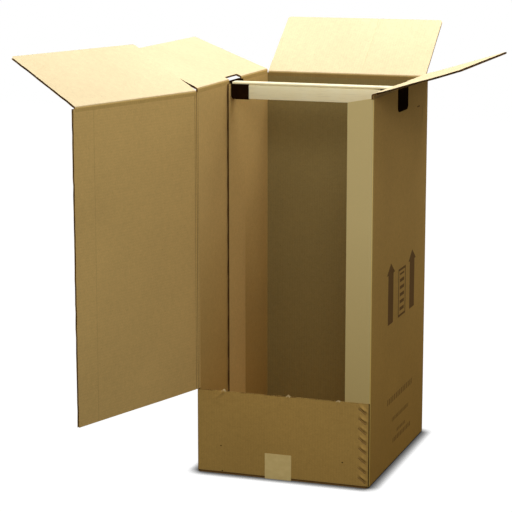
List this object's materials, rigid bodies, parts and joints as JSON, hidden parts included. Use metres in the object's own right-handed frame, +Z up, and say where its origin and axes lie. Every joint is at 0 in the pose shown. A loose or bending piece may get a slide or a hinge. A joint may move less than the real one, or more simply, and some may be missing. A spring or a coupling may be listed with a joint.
{
  "type": "wardrobe moving box",
  "caption": "Tall corrugated carton with a hinged front door panel, open top flaps and a clothes hanging bar hooked over its side walls.",
  "frame": {"origin": "on the ground under the middle of the carton's body, on the underside of the bottom tape", "axes": "+X to the right along the front, +Y from the front to the back, +Z up"},
  "size_m": [1.1065, 1.2875, 1.2439],
  "materials": {
    "kraft_board": "matt brown kraft liner over corrugated medium",
    "cream_paint": "satin cream paint",
    "black_plastic": "moulded black plastic, slightly glossy",
    "paper_tape": "kraft paper tape",
    "stitch_wire": "flat stitching wire, dull"
  },
  "bodies": {
    "carton": {"carton_body": "kraft_board", "left_bar_support": "kraft_board", "right_bar_support": "kraft_board", "hanging_bar": "cream_paint", "left_bar_hook": "black_plastic", "right_bar_hook": "black_plastic", "bottom_tape": "paper_tape", "wire_stitch_1": "stitch_wire", "wire_stitch_2": "stitch_wire", "wire_stitch_3": "stitch_wire", "wire_stitch_4": "stitch_wire", "wire_stitch_5": "stitch_wire", "wire_stitch_6": "stitch_wire", "wire_stitch_7": "stitch_wire", "wire_stitch_8": "stitch_wire"},
    "door": {"door_panel": "kraft_board"},
    "door_flap": {"door_top_flap": "kraft_board"},
    "left_flap": {"left_top_flap": "kraft_board"},
    "back_flap": {"back_top_flap": "kraft_board"},
    "right_flap": {"right_top_flap": "kraft_board"}
  },
  "joints": [
    {"name": "door_crease", "type": "hinge", "parent": "carton", "child": "door", "pos_m": [-0.251, -0.302, 0.665], "axis": [0, 0, -1], "range_deg": [-108, 2]},
    {"name": "door_flap_crease", "type": "hinge", "parent": "door", "child": "door_flap", "pos_m": [-0.251, -0.302, 1.09045], "axis": [-0.309, -0.9511, 0], "range_deg": [-152.5, 57.5]},
    {"name": "left_flap_crease", "type": "hinge", "parent": "carton", "child": "left_flap", "pos_m": [-0.251, 0, 1.097], "axis": [0, -1, 0], "range_deg": [-158.5, 51.5]},
    {"name": "back_flap_crease", "type": "hinge", "parent": "carton", "child": "back_flap", "pos_m": [0, 0.302, 1.09045], "axis": [-1, 0, 0], "range_deg": [-143, 67]},
    {"name": "right_flap_crease", "type": "hinge", "parent": "carton", "child": "right_flap", "pos_m": [0.251, 0, 1.097], "axis": [0, 1, 0], "range_deg": [-163, 47]}
  ]
}
